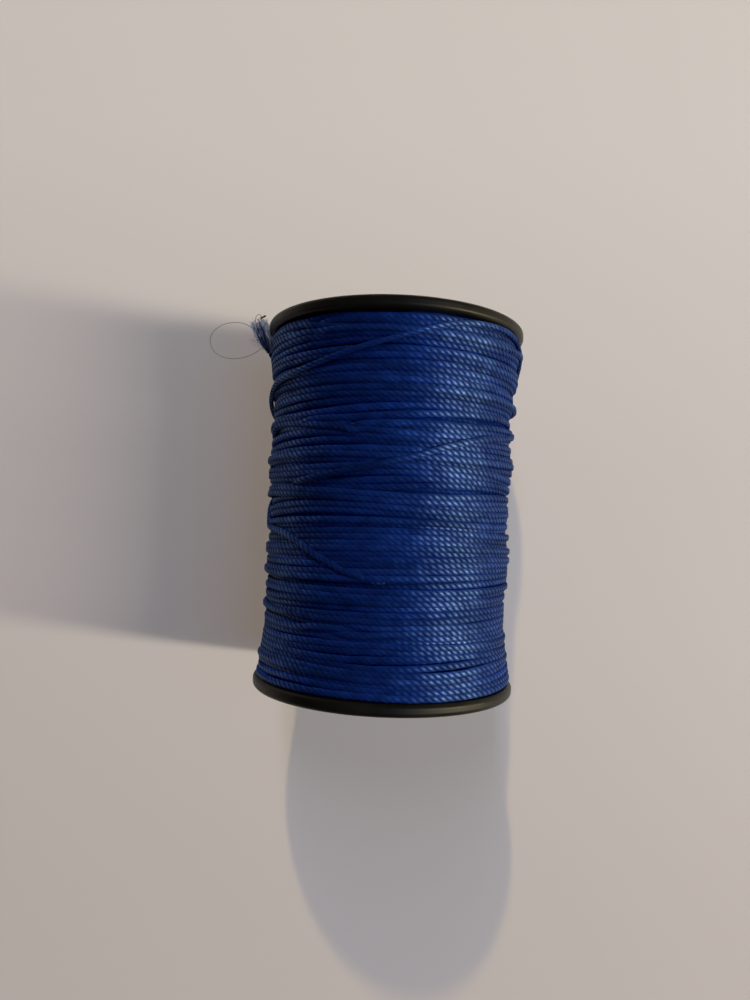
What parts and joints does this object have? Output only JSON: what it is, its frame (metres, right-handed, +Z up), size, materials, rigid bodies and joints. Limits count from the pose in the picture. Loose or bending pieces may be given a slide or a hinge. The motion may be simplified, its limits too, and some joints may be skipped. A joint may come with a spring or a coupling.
{
  "type": "fishing line spool",
  "caption": "Plastic spool with rounded end flanges on a tube core, wound full of blue twisted cord whose free end is frayed beside one flange.",
  "frame": {"origin": "point on the floor under the middle of the spool, which lies on both flange rims", "axes": "+Y along the spool's axis, towards the flange beside the cord's frayed end; +Z up; the frayed end is on the -X side"},
  "size_m": [0.0644, 0.0744, 0.052],
  "materials": {
    "flange_plastic": "satin",
    "tube_paper": "matte",
    "tape": "satin",
    "cord": "satin",
    "fray": "satin",
    "melted": "satin"
  },
  "bodies": {
    "root": {"core_tube": "tube_paper", "rear_flange": "flange_plastic", "front_flange": "flange_plastic", "start_tape": "tape", "line_winding": "cord", "line_tail": "cord", "frayed_tip": "fray", "melted_strand": "melted", "loose_filament": "fray"}
  },
  "joints": []
}
